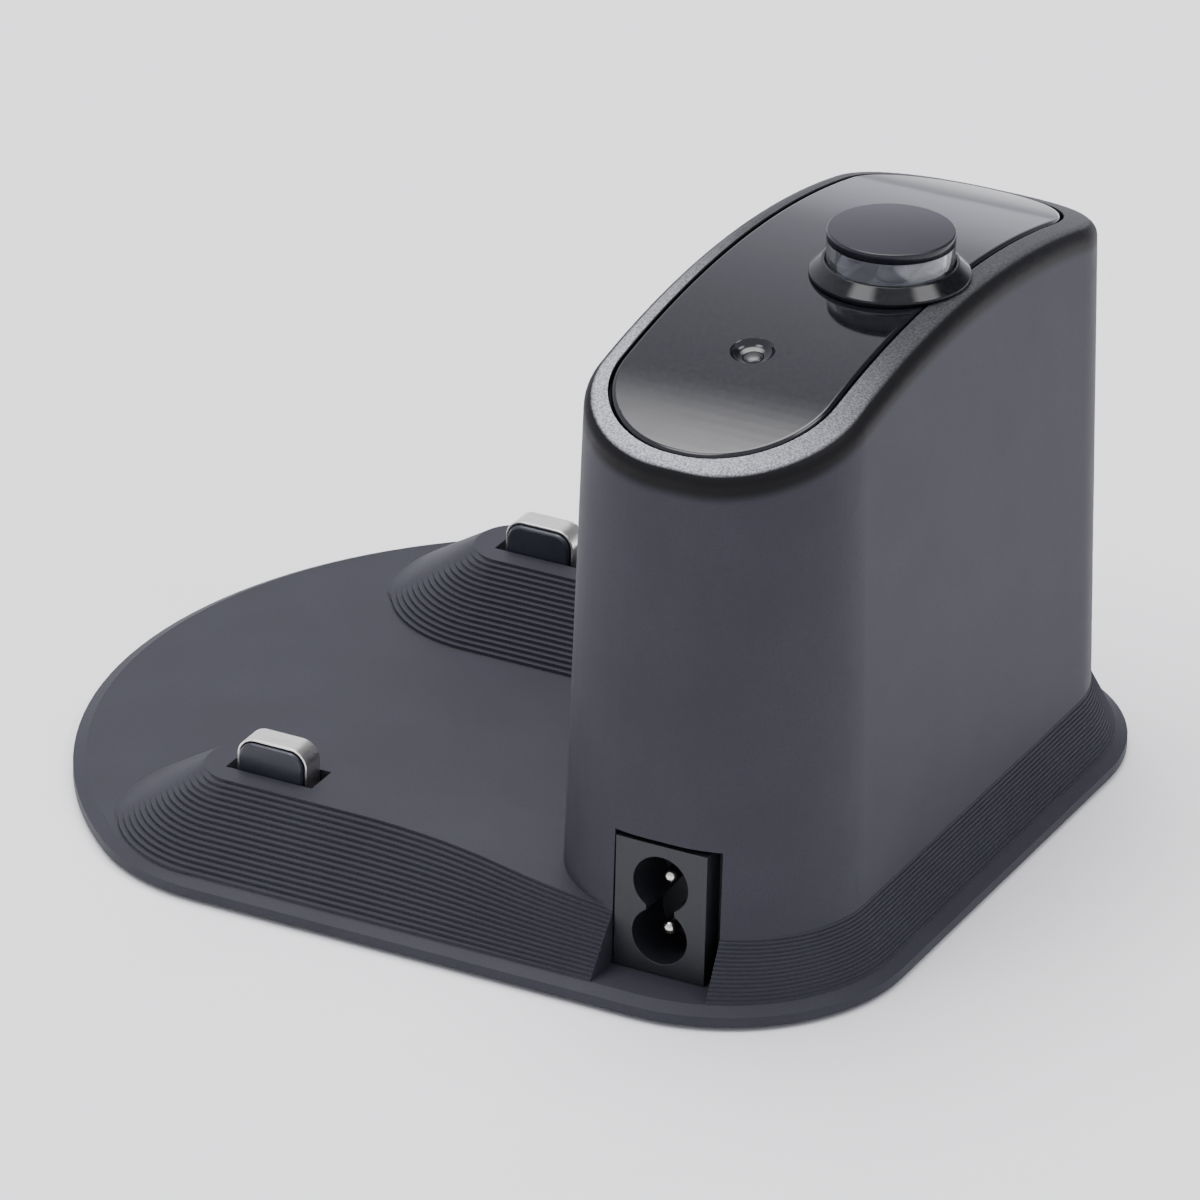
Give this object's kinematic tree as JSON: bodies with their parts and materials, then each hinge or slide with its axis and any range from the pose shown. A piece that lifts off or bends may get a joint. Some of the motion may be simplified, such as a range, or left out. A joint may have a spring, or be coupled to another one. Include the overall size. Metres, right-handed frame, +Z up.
{
  "type": "robot vacuum charging dock",
  "caption": "Floor charging dock for a robot vacuum: a lobed foot with ridged mounds and sprung contacts in front of an upright tower with a gloss lid and a signal dome.",
  "frame": {"origin": "on the floor, under the middle of the foot", "axes": "+X along the wall towards the inlet, -Y towards the robot, +Y towards the wall, +Z up"},
  "size_m": [0.134, 0.151, 0.1027],
  "materials": {
    "housing": "satin moulded, fine grain",
    "gloss_black": "polished black",
    "clear_lens": "clear",
    "clear_ring": "clear",
    "emitter": "clear",
    "board": "solder mask",
    "contact_core": "satin",
    "contact_strap": "nickel plated",
    "steel": "zinc plated",
    "inlet": "satin",
    "pin": "nickel plated",
    "cover": "satin",
    "rubber": "matte",
    "ferrite": "matte",
    "sleeve": "shrink sleeve",
    "copper": "enamelled wire",
    "fuse": "plated caps",
    "sink": "extruded"
  },
  "bodies": {
    "dock": {"upper_housing": "housing", "top_lid": "gloss_black", "indicator_lens": "clear_lens", "beacon_skirt": "gloss_black", "beacon_ring": "clear_ring", "beacon_cap": "gloss_black", "beacon_board": "board", "beacon_emitters": "emitter", "contact_spring_left": "steel", "contact_spring_right": "steel", "inlet_body": "inlet", "inlet_pins": "pin", "bottom_cover": "cover", "rubber_feet": "rubber", "cover_screws": "steel", "board_screws": "steel", "power_board": "board", "transformer": "ferrite", "bulk_capacitor": "sleeve", "output_capacitors": "sleeve", "line_choke": "copper", "line_fuse": "fuse", "heat_sink": "sink"},
    "contact_left": {"contact_core_left": "contact_core", "contact_strap_left": "contact_strap"},
    "contact_right": {"contact_core_right": "contact_core", "contact_strap_right": "contact_strap"}
  },
  "joints": [
    {"name": "contact_left_press", "type": "slide", "parent": "dock", "child": "contact_left", "axis": [0, 0, -1], "range_m": [0, 0.004], "stiffness_N_per_m": 200, "springref_m": -0.002, "deforming": ["contact_spring_left"]},
    {"name": "contact_right_press", "type": "slide", "parent": "dock", "child": "contact_right", "axis": [0, 0, -1], "range_m": [0, 0.004], "stiffness_N_per_m": 200, "springref_m": -0.002, "deforming": ["contact_spring_right"]}
  ]
}
